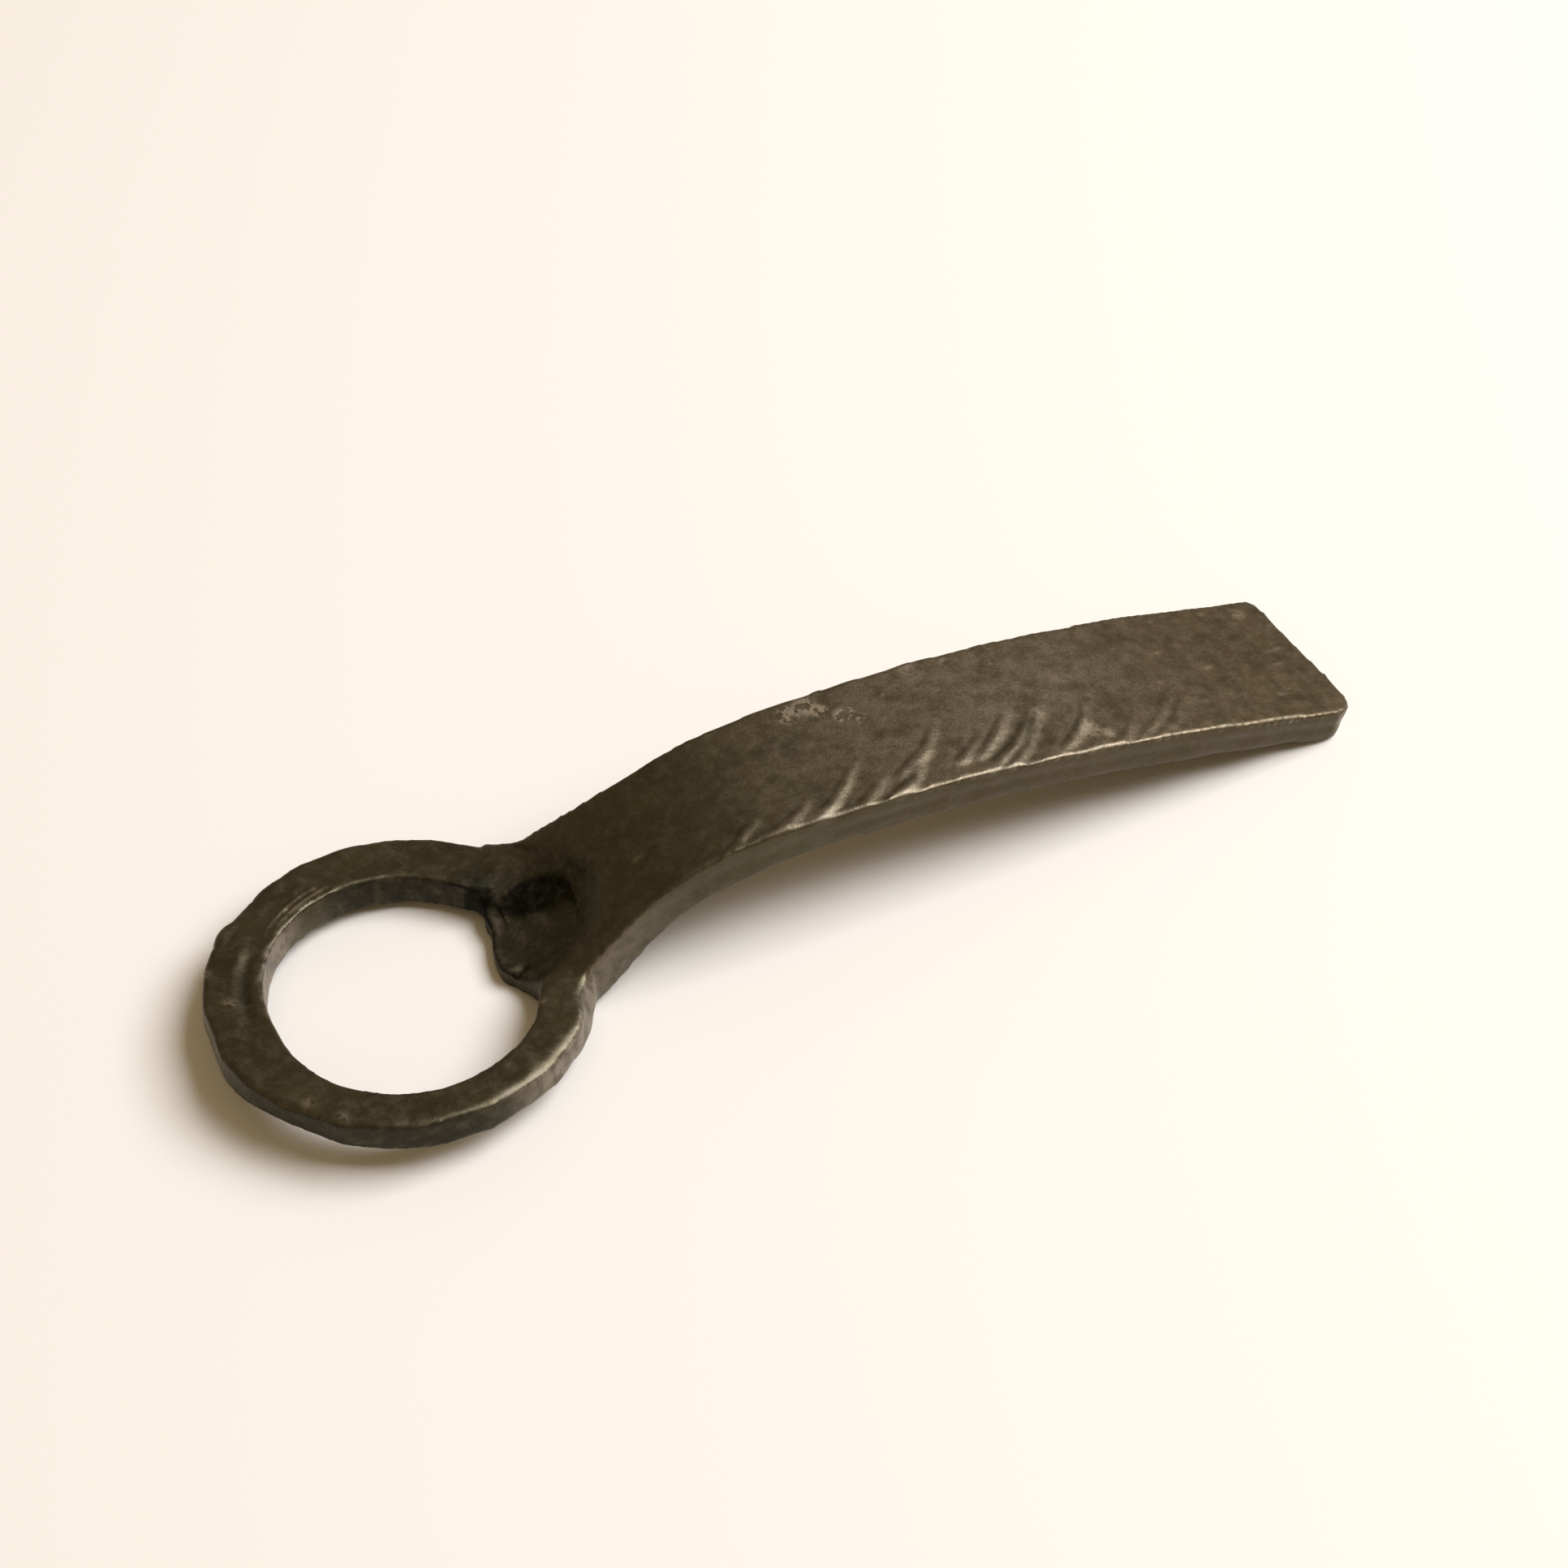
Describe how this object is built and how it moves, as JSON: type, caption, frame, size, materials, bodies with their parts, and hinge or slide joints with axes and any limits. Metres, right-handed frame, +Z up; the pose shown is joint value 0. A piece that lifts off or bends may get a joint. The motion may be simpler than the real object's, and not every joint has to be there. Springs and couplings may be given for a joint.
{
  "type": "bottle opener",
  "caption": "Hand-forged steel bottle opener: a ring with a set-down lip that lifts a crown cap, a bent neck and a flat, arched handle.",
  "frame": {"origin": "middle of the bottom of the box that holds the part, on the surface it stands on", "axes": "+X from the ring to the tip of the handle, +Z up as it lies on a table"},
  "size_m": [0.1502, 0.0464, 0.0176],
  "materials": {
    "forged_steel": "black forge scale, wire brushed and waxed, worn brighter along its edges"
  },
  "bodies": {
    "root": {"opener": "forged_steel"}
  },
  "joints": []
}
